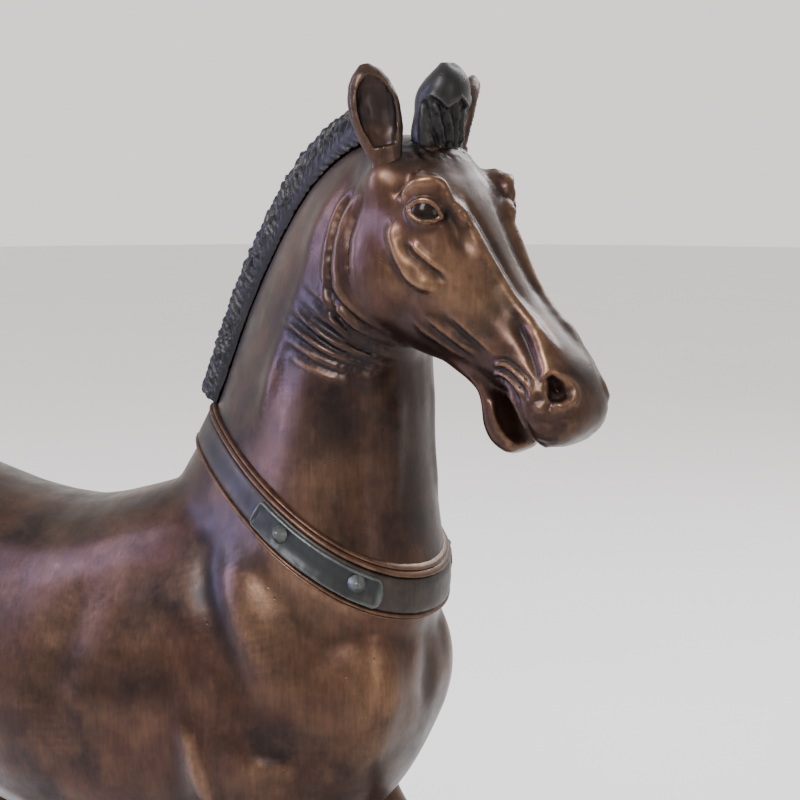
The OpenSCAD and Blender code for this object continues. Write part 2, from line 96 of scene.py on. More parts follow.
def in_head(points):
    """Points in space as distances down the face, out of the forehead and across it."""
    away = points - poll
    return away @ down_face, away @ out_of_face, away @ across_face


# ---------- Working with meshes ----------

def read(items, name, width=1, kind=np.float32):
    """One value, or one row of values, for each of a mesh's items."""
    flat = np.empty(len(items) * width, kind)
    items.foreach_get(name, flat)
    return flat.reshape(-1, width) if width > 1 else flat


def as_mesh(bm, name):
    """A new mesh from a bmesh, which is then let go."""
    mesh = bpy.data.meshes.new(name)
    bm.to_mesh(mesh)
    bm.free()
    return mesh


def placed(name, data):
    """A new object in the scene."""
    thing = bpy.data.objects.new(name, data)
    bpy.context.scene.collection.objects.link(thing)
    return thing


def applied(mesh, kind, **settings):
    """The mesh with one modifier applied to it."""
    work = placed("work", mesh)
    modifier = work.modifiers.new("step", kind)
    for key, value in settings.items():
        setattr(modifier, key, value)
    bpy.context.view_layer.update()
    graph = bpy.context.evaluated_depsgraph_get()
    result = bpy.data.meshes.new_from_object(work.evaluated_get(graph))
    bpy.data.objects.remove(work)
    return result


def cad_copy(*nodes):
    """One merged mesh of some CAD nodes."""
    bm = bmesh.new()
    for node in nodes:
        bm.from_mesh(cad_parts[node].data)
    bmesh.ops.remove_doubles(bm, verts=bm.verts, dist=0.00001)
    return as_mesh(bm, "copy")


def remeshed(mesh, voxel):
    """The same shape in even squares, as one skin over everything it holds."""
    return outer_skin(applied(mesh, "REMESH", mode="VOXEL", voxel_size=voxel * MM))


def subdivided(mesh):
    """The same mesh with each square cut into four and rounded."""
    return applied(mesh, "SUBSURF", levels=1, render_levels=1)


def outer_skin(mesh):
    """Only the island of faces that holds the most points, so no inner walls are left."""
    a, b = read(mesh.edges, "vertices", 2, np.int32).T
    label = np.arange(len(mesh.vertices))
    while True:
        low = np.minimum(label[a], label[b])
        new = label.copy()
        np.minimum.at(new, a, low)
        np.minimum.at(new, b, low)
        new = new[new]
        if (new == label).all():
            break
        label = new
    names, sizes = np.unique(label, return_counts=True)
    keep = label == names[sizes.argmax()]
    if keep.all():
        return mesh
    bm = bmesh.new()
    bm.from_mesh(mesh)
    bm.verts.ensure_lookup_table()
    spare = [bm.verts[i] for i in np.nonzero(~keep)[0]]
    bmesh.ops.delete(bm, geom=spare, context="VERTS")
    bm.to_mesh(mesh)
    bm.free()
    return mesh


def finished(name, mesh, material, node):
    """Makes the object of a piece inside the CAD model's box, and ties it to the frame."""
    mesh.name = name
    inside = np.clip(read(mesh.vertices, "co", 3), np.array(cad_low), np.array(cad_high))
    mesh.vertices.foreach_set("co", inside.ravel().astype(np.float32))
    mesh.materials.clear()
    mesh.materials.append(material)
    piece = placed(name, mesh)
    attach(piece, "root")
    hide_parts(node)


def smooth_line(points, step=0.5):
    """A smooth line through the points, as samples about a step apart."""
    points = np.asarray(points, float)
    if len(points) == 2:
        count = max(2, int(np.linalg.norm(points[1] - points[0]) / step) + 1)
        part = np.linspace(0, 1, count)[:, None]
        return points[0] * (1 - part) + points[1] * part
    before = np.vstack([2 * points[0] - points[1], points, 2 * points[-1] - points[-2]])
    line = []
    for i in range(1, len(before) - 2):
        p, q, r, s = before[i - 1:i + 3]
        count = max(2, int(np.linalg.norm(r - q) / step) + 1)
        u = np.linspace(0, 1, count, endpoint=False)[:, None]
        line.append(0.5 * (2 * q + (r - p) * u + (2 * p - 5 * q + 4 * r - s) * u ** 2
                           + (3 * q - p - 3 * r + s) * u ** 3))
    line.append(points[-1:])
    return np.vstack(line)


def nearest(points, line):
    """How far each point is from the closest sample of a line, and which sample that is."""
    best = np.full(len(points), 1e9)
    closest = np.zeros(len(points), int)
    for i, sample in enumerate(line):
        step = ((points - sample) ** 2).sum(1)
        less = step < best
        best[less] = step[less]
        closest[less] = i
    return np.sqrt(best), closest


def lumps(points, size, seed):
    """Smooth random heights between -1 and 1 for points in space."""
    table = np.random.default_rng(seed).uniform(-1, 1, (24, 24, 24))
    place = points / size
    base = np.floor(place).astype(int)
    part = place - base
    part = part * part * (3 - 2 * part)
    total = np.zeros(len(points))
    for corner in np.ndindex(2, 2, 2):
        share = np.where(corner, part, 1 - part).prod(1)
        total += share * table[tuple(((base + corner) % 24).T)]
    return total


def ease(value, low, high):
    """Rises smoothly from 0 at low to 1 at high."""
    part = np.clip((value - low) / (high - low), 0, 1)
    return part * part * (3 - 2 * part)


class Clay:
    """A surface that is modelled: its points in millimetres, their normals and its edges."""

    def __init__(self, mesh):
        self.mesh = mesh
        self.count = len(mesh.vertices)
        self.co = read(mesh.vertices, "co", 3).astype(float) / MM
        self.a, self.b = read(mesh.edges, "vertices", 2, np.int32).T
        links = np.bincount(self.a, minlength=self.count) + np.bincount(self.b, minlength=self.count)
        self.links = links.astype(float)
        self.look()

    def look(self):
        """Writes the points back to the mesh, and takes the normals of the surface as it is now."""
        self.mesh.vertices.foreach_set("co", (self.co * MM).astype(np.float32).ravel())
        self.mesh.update()
        self.normal = read(self.mesh.vertex_normals, "vector", 3).astype(float)

    def push(self, height):
        """Moves each point along its normal by its own height, and looks again."""
        self.co += self.normal * height[:, None]
        self.look()

    def mean(self, values):
        """The mean of each point's neighbours."""
        if values.ndim == 1:
            total = np.bincount(self.a, values[self.b], self.count)
            total += np.bincount(self.b, values[self.a], self.count)
            return total / self.links
        return np.stack([self.mean(values[:, i]) for i in range(values.shape[1])], 1)

    def relax(self, times, share=1.0):
        """Rounds the surface, each point by its own share."""
        share = np.broadcast_to(np.asarray(share, float), self.count)[:, None]
        for _ in range(times):
            self.co += 0.5 * share * (self.mean(self.co) - self.co)
        self.look()

    def swell(self, centre, radii, height, down=None, out=None):
        """Raises or sinks a soft oval of the surface, with its radii along three directions."""
        away = self.co - np.asarray(centre, float)
        if down is not None:
            side = np.cross(out, down)
            away = np.stack([away @ down, away @ side, away @ out], 1)
        distance = ((away / np.asarray(radii, float)) ** 2).sum(1)
        self.co += self.normal * (height * np.exp(-distance))[:, None]

    def draw(self, points, width, height, kind, fade):
        """Draws a ridge, groove or crease along a smooth line near the surface."""
        line = smooth_line(points, max(0.3, width * 0.3))
        reach = width * 3.2
        near = ((self.co > line.min(0) - reach - 6) & (self.co < line.max(0) + reach + 6)).all(1)
        near = np.nonzero(near)[0]
        if not len(near):
            return
        line = self.laid(line, near)
        distance, closest = nearest(self.co[near], line)
        hit = distance < reach
        near, distance, closest = near[hit], distance[hit], closest[hit]
        along = closest / (len(line) - 1)
        edge = np.minimum(along, 1 - along) / max(fade, 1e-3)
        strength = height * ease(edge, 0, 1)
        if kind == "crease":
            shape = -np.exp(-distance / width * 1.3)
            shape += 0.25 * np.exp(-(distance / width - 1.6) ** 2 * 2)
        else:
            shape = np.exp(-(distance / width) ** 2)
            if kind == "groove":
                shape = -shape
        self.co[near] += self.normal[near] * (strength * shape)[:, None]

    def laid(self, line, near):
        """A line moved onto the nearest of the surface's points, and evened."""
        spots = self.co[near]
        found = np.array([spots[((spots - p) ** 2).sum(1).argmin()] for p in line])
        for _ in range(3):
            found[1:-1] = 0.5 * found[1:-1] + 0.25 * (found[:-2] + found[2:])
        return found

    def shape_of_wear(self):
        """Marks the high edges that hands rub and the hollows that stay dark."""
        def bend(times):
            broad = self.co.copy()
            for _ in range(times):
                broad += 0.6 * (self.mean(broad) - broad)
            return ((self.co - broad) * self.normal).sum(1)
        fine = bend(5)
        wide = bend(24)
        for _ in range(2):
            fine += 0.5 * (self.mean(fine) - fine)
        value = fine / 0.16 + wide / 0.5
        self.write("wear", np.clip(value, 0, 1.5) / 1.5)
        self.write("hollow", np.clip(-value, 0, 1.8) / 1.8)

    def write(self, name, values):
        """Keeps one number for each point with the mesh."""
        layer = self.mesh.attributes.get(name) or self.mesh.attributes.new(name, "FLOAT", "POINT")
        layer.data.foreach_set("value", values.astype(np.float32))

    def tree(self):
        """The surface as something that can be aimed at, in millimetres."""
        faces = [tuple(p.vertices) for p in self.mesh.polygons]
        return BVHTree.FromPolygons(self.co.tolist(), faces)


# ---------- Materials ----------

class Finish:
    """A material and short ways to add its nodes."""

    def __init__(self, name):
        self.material = bpy.data.materials.new(name)
        self.material.use_nodes = True
        self.tree = self.material.node_tree
        self.shader = self.tree.nodes["Principled BSDF"]
        self.place = self.add("ShaderNodeTexCoord").outputs["Object"]

    def add(self, kind, **values):
        node = self.tree.nodes.new(kind)
        for key, value in values.items():
            setattr(node, key, value)
        return node

    def join(self, source, target):
        self.tree.links.new(source, target)

    def feed(self, socket, value):
        """Gives a socket a number, a colour or another node's output."""
        if isinstance(value, (int, float)):
            socket.default_value = value
        elif isinstance(value, tuple):
            socket.default_value = (*value, 1.0)
        else:
            self.join(value, socket)

    def stretched(self, x, y, z, turn=(0, 0, 0)):
        """The piece's own coordinates, scaled along each way."""
        node = self.add("ShaderNodeMapping")
        node.inputs["Scale"].default_value = (x, y, z)
        node.inputs["Rotation"].default_value = turn
        self.join(self.place, node.inputs["Vector"])
        return node.outputs["Vector"]

    def noise(self, scale, detail=4.0, rough=0.55, place=None, warp=0.0):
        node = self.add("ShaderNodeTexNoise")
        for key, value in {"Scale": scale, "Detail": detail, "Roughness": rough, "Distortion": warp}.items():
            node.inputs[key].default_value = value
        self.join(place or self.place, node.inputs["Vector"])
        return node.outputs["Fac"]

    def cells(self, scale):
        node = self.add("ShaderNodeTexVoronoi")
        node.inputs["Scale"].default_value = scale
        self.join(self.place, node.inputs["Vector"])
        return node.outputs["Distance"]

    def mark(self, name):
        return self.add("ShaderNodeAttribute", attribute_name=name).outputs["Fac"]

    def spread(self, source, low, high, to_low=0.0, to_high=1.0):
        node = self.add("ShaderNodeMapRange")
        limits = {"From Min": low, "From Max": high, "To Min": to_low, "To Max": to_high}
        for key, value in limits.items():
            node.inputs[key].default_value = value
        self.join(source, node.inputs["Value"])
        return node.outputs["Result"]

    def sum(self, kind, first, second):
        node = self.add("ShaderNodeMath", operation=kind)
        self.feed(node.inputs[0], first)
        self.feed(node.inputs[1], second)
        return node.outputs[0]

    def blend(self, share, first, second, kind="MIX"):
        node = self.add("ShaderNodeMix", data_type="RGBA", blend_type=kind)
        for number, value in ((0, share), (6, first), (7, second)):
            self.feed(node.inputs[number], value)
        return node.outputs[2]

    def bump(self, height, strength, distance, under=None):
        node = self.add("ShaderNodeBump")
        node.inputs["Strength"].default_value = strength
        node.inputs["Distance"].default_value = distance * MM
        self.join(height, node.inputs["Height"])
        if under is not None:
            self.join(under, node.inputs["Normal"])
        return node.outputs["Normal"]

    def set(self, **values):
        for key, value in values.items():
            self.feed(self.shader.inputs[key.replace("_", " ")], value)


def cast_metal(name, dark, middle, rubbed, metal, rough, coat, rub=1.0):
    """Lacquered casting: mottled patina, rubbed high places, warm rubbed patina with painted highlights,
    smoky near-black patina with painted shade, dark hollows, brushed scratches and pits.
    """
    f = Finish(name)
    patches = f.spread(f.noise(28, 5, 0.6, warp=0.6), 0.38, 0.62)
    colour = f.blend(patches, dark, middle)
    clouds = f.spread(f.noise(75, 4, 0.6), 0.45, 0.7)
    wear = f.spread(f.mark("wear"), 0.20, 1.0, 0.0, 0.62)
    rubbing = f.sum("MULTIPLY", wear, f.spread(f.noise(160, 4, 0.7), 0.3, 0.62, 0.25, 1.0))
    rubbing = f.sum("MULTIPLY", rubbing, rub)
    haze = f.sum("MULTIPLY", clouds, 0.16)
    # Warm yellow-brown where the patina is rubbed, with a painted highlight on the top of each nostril's rim.
    warm = f.sum("MULTIPLY", f.mark("ochre"), f.spread(f.noise(95, 4, 0.65), 0.3, 0.7, 0.15, 0.8))
    share = f.sum("MINIMUM", f.sum("ADD", f.sum("ADD", rubbing, haze), warm), 0.95)
    colour = f.blend(share, colour, rubbed)
    grime = f.spread(f.mark("hollow"), 0.05, 0.75)
    grime = f.sum("MULTIPLY", grime, 0.72)
    shade = tuple(0.22 * v for v in dark)
    colour = f.blend(grime, colour, shade)
    # Smoky near-black patina in the throat folds and round the forelock, and painted shade on the front of
    # the neck, in the nostrils and inside the ears.
    smoke = f.sum("MULTIPLY", f.mark("smoke"), f.spread(f.noise(60, 4, 0.65), 0.3, 0.65, 0.55, 0.95))
    colour = f.blend(smoke, colour, (0.0065, 0.0045, 0.0060))
    streaks = f.noise(900, 3, 0.6, f.stretched(1.0, 1.0, 0.12, (0.4, 0.9, 0.2)))
    colour = f.blend(f.spread(streaks, 0.35, 0.75, 0.0, 0.35), colour, middle, "OVERLAY")
    pit = f.spread(f.cells(330), 0.0, 0.16)
    pit_zone = f.spread(f.noise(90, 2), 0.55, 0.68, 0.0, 1.0)
    depth = f.sum("MULTIPLY", f.sum("SUBTRACT", 1.0, pit), pit_zone)
    colour = f.blend(f.sum("MULTIPLY", depth, 0.7), colour, shade)
    gloss = f.spread(f.noise(130, 5, 0.65), 0.3, 0.7, rough - 0.07, rough + 0.12)
    gloss = f.sum("ADD", gloss, f.sum("MULTIPLY", grime, 0.25))
    normal = f.bump(f.noise(260, 5, 0.6), 0.40, 0.18)
    normal = f.bump(streaks, 0.10, 0.10, normal)
    normal = f.bump(f.sum("MULTIPLY", depth, -1.0), 0.5, 0.25, normal)
    f.set(Base_Color=colour, Roughness=gloss, Metallic=metal, Normal=normal)
    f.set(Coat_Weight=coat, Coat_Roughness=0.28, Specular_IOR_Level=0.35)
    return f.material


def stone_finish():
    """Polished black marble with thin pale veins."""
    f = Finish("black_marble")
    drift = f.noise(9, 6, 0.6, warp=2.2)
    vein = f.sum("ABSOLUTE", f.sum("SUBTRACT", drift, 0.5), 0.0)
    vein = f.spread(vein, 0.0, 0.012, 1.0, 0.0)
    faint = f.spread(f.noise(30, 3), 0.45, 0.7)
    colour = f.blend(f.noise(22, 5), (0.006, 0.006, 0.007), (0.022, 0.022, 0.024))
    colour = f.blend(f.sum("MULTIPLY", vein, faint), colour, (0.42, 0.40, 0.37))
    normal = f.bump(f.noise(400, 2), 0.05, 0.05)
    f.set(Base_Color=colour, Roughness=f.spread(f.noise(60, 3), 0.3, 0.7, 0.10, 0.2), Normal=normal)
    return f.material


def felt_finish():
    """Pressed green-black wool felt."""
    f = Finish("felt")
    fibre = f.noise(2200, 4, 0.7, warp=1.5)
    colour = f.blend(fibre, (0.012, 0.020, 0.014), (0.05, 0.075, 0.055))
    f.set(Base_Color=colour, Roughness=0.95, Normal=f.bump(fibre, 0.6, 0.3))
    f.set(Sheen_Weight=0.4)
    return f.material


def steel_finish():
    """Zinc-plated steel with turning marks."""
    f = Finish("zinc_steel")
    rings = f.noise(1500, 3, 0.6, f.stretched(0.15, 0.15, 1.0))
    colour = f.blend(f.noise(120, 4), (0.45, 0.45, 0.43), (0.66, 0.66, 0.68))
    gloss = f.spread(rings, 0.3, 0.7, 0.25, 0.42)
    f.set(Base_Color=colour, Metallic=1.0, Roughness=gloss, Normal=f.bump(rings, 0.15, 0.08))
    return f.material


def eye_finish():
    """Glossy black enamel with a warm brown shine under it."""
    f = Finish("eye_enamel")
    colour = f.blend(f.spread(f.noise(180, 4), 0.4, 0.75), (0.0015, 0.0013, 0.0013), (0.012, 0.0055, 0.0035))
    f.set(Base_Color=colour, Roughness=f.spread(f.noise(300, 2), 0.3, 0.7, 0.16, 0.28))
    f.set(Specular_IOR_Level=0.08, Coat_Weight=0.05, Coat_Roughness=0.06)
    f.set(Normal=f.bump(f.noise(500, 2), 0.06, 0.05))
    return f.material


bronze = cast_metal("brown_bronze", (0.0095, 0.0043, 0.0032), (0.040, 0.0168, 0.0098),
                    (0.180, 0.099, 0.052), 0.80, 0.34, 0.10, rub=0.85)
black_bronze = cast_metal("black_bronze", (0.0026, 0.0024, 0.0025), (0.0075, 0.0066, 0.0066),
                          (0.027, 0.024, 0.024), 0.5, 0.44, 0.05)
band_bronze = cast_metal("band_bronze", (0.0026, 0.0022, 0.0023), (0.0068, 0.0056, 0.0054),
                         (0.040, 0.028, 0.021), 0.5, 0.44, 0.03)
ear_bronze = cast_metal("ear_bronze", (0.0120, 0.0052, 0.0036), (0.040, 0.0165, 0.0090),
                        (0.125, 0.066, 0.031), 0.72, 0.40, 0.14, rub=0.6)
rubbed_bronze = cast_metal("rubbed_bronze", (0.0100, 0.0048, 0.0036), (0.030, 0.0140, 0.0092),
                           (0.125, 0.066, 0.040), 0.75, 0.38, 0.06)
grey_bronze = cast_metal("grey_bronze", (0.0085, 0.0105, 0.0105), (0.024, 0.029, 0.028),
                         (0.09, 0.10, 0.095), 0.6, 0.38, 0.18)


# ---------- The horse's body, neck, head and legs, modelled as one skin ----------

# Width of the squares that the skin is made of, and the castings it is cut into.
skin_square = 1.08
castings = ["body_casting", "neck_casting", "head_casting", "right_foreleg", "left_foreleg", "right_hind_leg",
            "left_hind_leg"]
neck_number = castings.index("neck_casting")
head_number = castings.index("head_casting")


def blend_muscles(clay):
    """Rounds the trunk most, the neck less and the head and legs least."""
    down = in_head(clay.co)[0]
    above_collar = (clay.co - collar_mid) @ collar_up
    head = ease(down, 4, 16) * ease(above_collar, 30, 45)
    legs = 1 - ease(clay.co[:, 2], fore_weld - 14, fore_weld + 14)
    share = 1 - 0.8 * np.maximum(head, legs * 0.9)
    clay.relax(26, share)


def face_line(clay, kind, width, height, fade, *points):
    """Draws a line given on the right side of the face, and its mirror on the left."""
    for side in (1, -1):
        clay.draw([on_head(h, n, side * t) for h, n, t in points], width, height, kind, fade)


def side_line(clay, kind, width, height, fade, *points):
    """Draws a line given on the right side of the body, and its mirror on the left."""
    for side in (1, -1):
        clay.draw([on_horse(x, side * y, z) for x, y, z in points], width, height, kind, fade)


def model_neck(clay):
    """The long muscle, the grooves behind the jowl and the folds of the throat."""
    side_line(clay, "ridge", 4.2, 1.1, 0.25, (107, -14, 350), (100, -16, 338), (94, -19, 322),
              (88, -20, 305), (82, -20, 288), (77, -20, 272))
    side_line(clay, "groove", 5.0, 0.9, 0.3, (98, -22, 336), (91, -22, 318), (87, -22, 302), (88, -22, 285))
    clay.look()
    side_line(clay, "crease", 1.3, 1.2, 0.2, (112, -22, 347), (106, -21, 338), (104, -22, 326),
              (105, -24, 314), (110, -23, 305), (117, -17, 299))
    side_line(clay, "ridge", 1.4, 0.7, 0.25, (115, -22, 348), (109, -21, 338), (107, -22, 328),
              (108, -24, 317), (113, -22, 308))
    side_line(clay, "crease", 1.2, 0.8, 0.25, (118, -22, 345), (112, -22, 336), (111, -23, 326),
              (112, -24, 316))
    clay.look()
    folds = [
        [(99, -22, 320), (106, -23, 315), (113, -22, 308), (119, -14, 302)],
        [(94, -20, 317), (103, -23, 312), (111, -22, 306), (116, -18, 302), (121, -8, 298)],
        [(89, -19, 314), (98, -23, 309), (107, -23, 304), (114, -19, 300), (120, -8, 296)],
        [(86, -18, 310), (95, -22, 306), (105, -24, 301), (112, -21, 298), (119, -9, 294)],
        [(84, -18, 306), (94, -23, 302), (104, -24, 298), (111, -21, 296), (118, -11, 293)],
        [(86, -20, 301), (95, -23, 298), (105, -23, 295), (113, -18, 293)],
    ]
    for points in folds:
        side_line(clay, "crease", 1.3, 1.15, 0.4, *points)
    ridges = [
        [(92, -20, 319), (101, -23, 314), (110, -23, 307), (117, -17, 302)],
        [(88, -19, 312), (97, -23, 307), (106, -24, 302), (114, -19, 298)],
        [(84, -18, 308), (95, -23, 304), (105, -24, 299.5), (112, -20, 297)],
    ]
    for points in ridges:
        side_line(clay, "ridge", 1.0, 0.7, 0.35, *points)
    clay.look()
    side_line(clay, "ridge", 3.0, 0.6, 0.25, (118, -11, 292), (118.5, -11, 280), (118, -12, 266),
              (118, -14, 252))
    clay.look()


def model_chest(clay):
    """The shoulder's crease and bulges, the breast's middle crease and the light ridge under the collar."""
    side_line(clay, "groove", 5.4, 1.1, 0.4, (57, -22, 246), (62, -24, 240), (68, -29, 231), (75, -33, 219),
              (82, -35, 203), (88, -34, 190))
    side_line(clay, "ridge", 8.0, 0.8, 0.45, (69, -24, 246), (76, -30, 234), (82, -34, 221), (87, -35, 206))
    side_line(clay, "ridge", 8.0, 0.5, 0.45, (52, -25, 240), (58, -28, 231), (63, -31, 220), (66, -34, 208))
    side_line(clay, "ridge", 4.5, 0.9, 0.35, (74, -24, 251), (86, -27, 244), (100, -28, 236),
              (112, -23, 229), (120, -12, 222))
    clay.look()
    clay.draw([on_horse(124, 1, 226), on_horse(126, 1.5, 214), on_horse(124, 1, 202), on_horse(116, 0, 186)],
              4.5, 0.7, "groove", 0.45)
    for side in (-1, 1):
        clay.swell(on_horse(116, side * 17, 204), (12, 12, 17), 1.4)
    side_line(clay, "groove", 8.0, 1.3, 0.35, (30, -30, 232), (24, -37, 214), (20, -42, 195),
              (22, -43, 176))
    side_line(clay, "groove", 8.0, 1.5, 0.35, (-70, -36, 226), (-64, -40, 206), (-58, -40, 186),
              (-52, -36, 168))
    side_line(clay, "groove", 6.0, 1.2, 0.35, (-98, -22, 228), (-104, -28, 208), (-106, -30, 186),
              (-102, -30, 166))
    side_line(clay, "ridge", 4.0, 1.2, 0.3, (62, -34, 196), (68, -34, 180), (74, -32, 164))
    clay.look()


def model_legs(clay):
    """The groove before each tendon, the edge of each coronet and the rings of the hooves."""
    tendons = (
        (-22, [(77.9, 65), (77.3, 50), (76.6, 41), (75.5, 32)]),
        (-22, [(-124.6, 86), (-126.8, 71), (-130, 55), (-132.8, 45)]),
        (22, [(142, 97), (136.3, 84), (132.6, 75), (128.5, 68)]),
        (22, [(-77, 85), (-69.8, 69), (-62.4, 53), (-59.8, 44)]))
    for middle, line in tendons:
        for y in (middle - 5, middle + 5):
            clay.draw([on_horse(x, y, z) for x, z in line], 1.5, 0.8, "groove", 0.3)
    clay.look()
    coronets = (((93, 17), (76, 12), (88, 0), -22), ((128, 45), (113, 55), (107, 34), 22),
                ((-36, 18), (-52, 12), (-40, 0), 22), ((-118, 18), (-135, 12), (-124, 0), -22))
    for front, heel, sole, y in coronets:
        front, heel, sole = [on_horse(x, y, z) for x, z in (front, heel, sole)]
        up = np.array([front[2] - heel[2], 0.0, heel[0] - front[0]])
        up /= np.linalg.norm(up)
        if (sole - front) @ up > 0:
            up = -up
        near = np.linalg.norm(clay.co - (front + heel + sole) / 3, axis=1) < 24
        rise = (clay.co - front) @ up
        swell = 0.6 * np.exp(-((rise - 0.9) / 0.9) ** 2) - 0.5 * np.exp(-((rise + 1.1) / 0.8) ** 2)
        swell += 0.10 * np.sin(rise * 2.5) * (1 - ease(rise, -4, -2))
        clay.co += clay.normal * (swell * near)[:, None]
    clay.look()


def model_head(clay):
    """The planes, brow, cheek folds, wrinkles, lips and nostrils."""
    # Long side ridges of the nose, with a groove in front of each.
    face_line(clay, "ridge", 2.4, 1.5, 0.2, (25, 7.0, -12.5), (32, 7.0, -11.5), (38, 6.6, -10),
              (48, 5.6, -8.6), (60, 5.0, -7.6), (72, 5.4, -7.2), (82, 5.6, -6.4))
    face_line(clay, "groove", 1.5, 0.55, 0.25, (26, 8.0, -6.5), (34, 7.6, -6.0), (44, 6.4, -4.6),
              (56, 5.4, -4.0), (66, 5.2, -3.6))
    clay.look()
    # Hollow in front of the eye, and the long plane of the cheek under the nose's ridge.
    for side in (-1, 1):
        for h, n, t, radii, height in (
                (41, 3.2, 13, (4.5, 2.4, 4.5), -1.5), (36, 6.6, 13, (4.0, 3.0, 3.0), -0.9),
                (60, 0.5, 10, (13, 3.5, 4.0), -1.0), (30, -24, 17, (13, 6, 12), 1.4),
                (40, -9.5, 18, (7, 4, 2.6), 1.0), (44, -20, 16, (5, 5, 9), -1.0)):
            clay.swell(on_head(h, n, side * t), radii, height, down_face, out_of_face)
    clay.look()
    # Brow over the eye.
    face_line(clay, "ridge", 1.7, 1.7, 0.15, (24.5, -3.5, -18.6), (23.5, -0.3, -17.6), (23.0, 2.4, -16.6),
              (24.5, 5.6, -16.0), (27.5, 8.6, -14.6), (31.5, 9.2, -13.6), (35.5, 8.4, -12.2),
              (39, 7.0, -11))
    face_line(clay, "groove", 1.8, 0.8, 0.25, (22, -4, -18.6), (20.6, 0, -17.4), (20.6, 4, -15.6),
              (23, 8, -13.5))
    clay.look()
    # Cheek folds that run forward and down from the back of the eye.
    face_line(clay, "ridge", 2.0, 1.25, 0.2, (25.5, -5.0, -19.4), (27.4, -7.6, -19.6), (29.5, -9.2, -19.7),
              (32.5, -10.2, -19.7), (36.1, -11.0, -19.4), (41, -11.8, -18.6), (45, -9.6, -17.7),
              (49, -6.8, -16))
    face_line(clay, "groove", 1.2, 0.9, 0.25, (31, -7.4, -19.4), (35.5, -7.6, -19), (40, -6.8, -18),
              (44, -6.0, -17), (48.5, -4.6, -15.6))
    face_line(clay, "ridge", 1.0, 0.9, 0.25, (33, -5.2, -19.2), (37, -5.4, -18.8), (42, -4.4, -17.6),
              (46, -3.4, -16.2))
    face_line(clay, "groove", 2.0, 0.7, 0.3, (30, -13.2, -20), (35, -14.2, -20), (41, -15, -19),
              (46.5, -13.2, -18))
    clay.look()
    # Long ridges low on the cheek, towards the corner of the mouth.
    lower = [
        [(47, -17, -17), (55, -15.5, -15.5), (62, -14, -14), (69, -12, -12.5)],
        [(45, -21, -16.5), (53, -19.6, -15.5), (61, -18, -14), (68, -16, -12.5)],
        [(52, -10.5, -16), (60, -9.4, -14.4), (67, -8.0, -13), (73, -5.6, -12)],
    ]
    for points in lower:
        face_line(clay, "ridge", 1.9, 0.9, 0.35, *points)
    between = [
        [(47, -19, -17), (55, -17.6, -15.5), (62, -16, -14), (69, -14, -12.5)],
        [(49, -13, -17), (57, -12, -15), (65, -10.4, -13.6), (72, -8, -12.4)],
    ]
    for points in between:
        face_line(clay, "groove", 1.4, 0.65, 0.35, *points)
    clay.look()
    # The fleshy tube that leads down to the nostril.
    face_line(clay, "groove", 1.5, 1.2, 0.3, (62, 2.4, -10), (69, 1.8, -10.6), (75, 1.2, -11),
              (80, 0.2, -12), (85, -1.6, -12.6))
    face_line(clay, "ridge", 2.0, 0.8, 0.25, (67, 4.6, -8.6), (74, 4.2, -9.4), (80, 3.2, -10.4),
              (84.5, 2.0, -11.2))
    # Wrinkles round the corner of the mouth.
    arcs = [
        [(70, -9.5, -12.5), (71.5, -6, -12), (75, -4, -12), (80, -2.4, -12.4), (84, -3.0, -12.6)],
        [(72, -12, -12), (73.2, -8.4, -12), (77, -6.2, -12), (82, -5.2, -12.4), (86, -6.0, -12)],
        [(73.4, -15, -12), (75.2, -10.4, -12), (79, -8.2, -12), (84, -7.4, -12)],
    ]
    for points in arcs:
        face_line(clay, "crease", 0.8, 0.7, 0.25, *points)
    for points in ([(71, -11, -12.4), (72.4, -7.2, -12), (76, -5, -12), (81, -3.8, -12.4)],
                   [(72.8, -13.6, -12), (74.2, -9.4, -12), (78, -7.2, -12), (83, -6.2, -12)]):
        face_line(clay, "ridge", 0.8, 0.6, 0.2, *points)
    clay.look()
    # Rims and holes of the nostrils, and the rough skin under them.
    face_line(clay, "ridge", 1.3, 0.8, 0.1, (82.4, -0.6, -12), (82.6, 2.4, -10.8), (84.4, 4.6, -9),
              (87.2, 5.6, -7.6), (90, 4.8, -7.2), (91.6, 2.6, -8.2), (90.6, 0.4, -10.6), (87.6, -1.2, -12))
    for side in (-1, 1):
        clay.swell(on_head(86.4, 2.6, side * 11), (3.0, 4.4, 2.2), -4.6, down_face, out_of_face)
        clay.swell(on_head(88.4, -0.6, side * 11), (2.0, 2.6, 1.6), -1.8, down_face, out_of_face)
    clay.look()
    h, n, t = in_head(clay.co)
    snout = ease(h, 82, 90) * ease(-n, 0.5, 4) * (1 - ease(-n, 11, 15))
    near_hole = np.exp(-((h - 88) / 6) ** 2 - ((n + 2) / 5) ** 2) * ease(np.abs(t), 4, 8)
    rough = lumps(clay.co, 2.4, 5) + 0.4 * lumps(clay.co, 1.1, 6)
    clay.co += clay.normal * ((0.10 * snout + 0.62 * near_hole) * rough)[:, None]
    # Lips.
    face_line(clay, "ridge", 0.9, 0.8, 0.1, (78.5, -13.4, -11), (80.5, -10.8, -12), (84.5, -10.6, -12.2),
              (88.6, -11.8, -11), (93, -13.6, -9), (97.5, -14.2, -6))
    face_line(clay, "ridge", 0.9, 0.6, 0.1, (77.6, -14.6, -10.4), (79.6, -18.8, -9.6), (84, -20.4, -9),
              (90, -20.6, -7))
    # Forehead, rough where the forelock grows.
    crown = (1 - ease(h, 13, 20)) * ease(n, 0, 6)
    strands = lumps(clay.co * np.array([1.0, 1.0, 0.5]), 1.1, 9)
    clay.push(0.55 * crown * strands)


